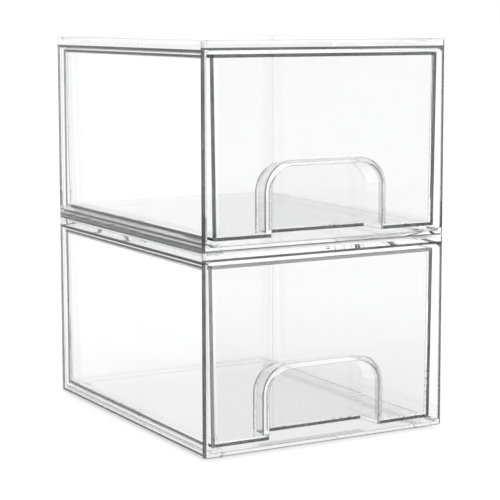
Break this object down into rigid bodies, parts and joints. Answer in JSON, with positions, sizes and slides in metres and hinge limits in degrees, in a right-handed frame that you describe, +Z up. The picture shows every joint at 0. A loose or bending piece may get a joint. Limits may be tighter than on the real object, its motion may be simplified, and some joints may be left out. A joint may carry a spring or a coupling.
{
  "type": "stackable drawer box",
  "caption": "Clear open-front box with a slide-out drawer and a finger niche, nested on an alike box that it lifts off.",
  "frame": {"origin": "on the surface it stands on, in the middle of the footprint", "axes": "+X to the right seen from the front, +Y to the back, +Z up; the drawers open towards -Y"},
  "size_m": [0.156, 0.194, 0.2262],
  "materials": {
    "casing_clear": "clear, polished",
    "drawer_clear": "clear, polished",
    "pad_clear": "soft, translucent"
  },
  "bodies": {
    "lower_box": {"lower_case": "casing_clear", "lower_pad_front_left": "pad_clear", "lower_pad_front_right": "pad_clear", "lower_pad_back_left": "pad_clear", "lower_pad_back_right": "pad_clear"},
    "lower_drawer": {"lower_drawer": "drawer_clear"},
    "upper_box": {"upper_case": "casing_clear", "upper_pad_front_left": "pad_clear", "upper_pad_front_right": "pad_clear", "upper_pad_back_left": "pad_clear", "upper_pad_back_right": "pad_clear"},
    "upper_drawer": {"upper_drawer": "drawer_clear"}
  },
  "joints": [
    {"name": "lower_drawer_slide", "type": "slide", "parent": "lower_box", "child": "lower_drawer", "axis": [0, -1, 0], "range_m": [0, 0.157]},
    {"name": "upper_box_lift", "type": "slide", "parent": "lower_box", "child": "upper_box", "axis": [0, 0, 1], "range_m": [0, 0.06]},
    {"name": "upper_drawer_slide", "type": "slide", "parent": "upper_box", "child": "upper_drawer", "axis": [0, -1, 0], "range_m": [0, 0.157]}
  ]
}
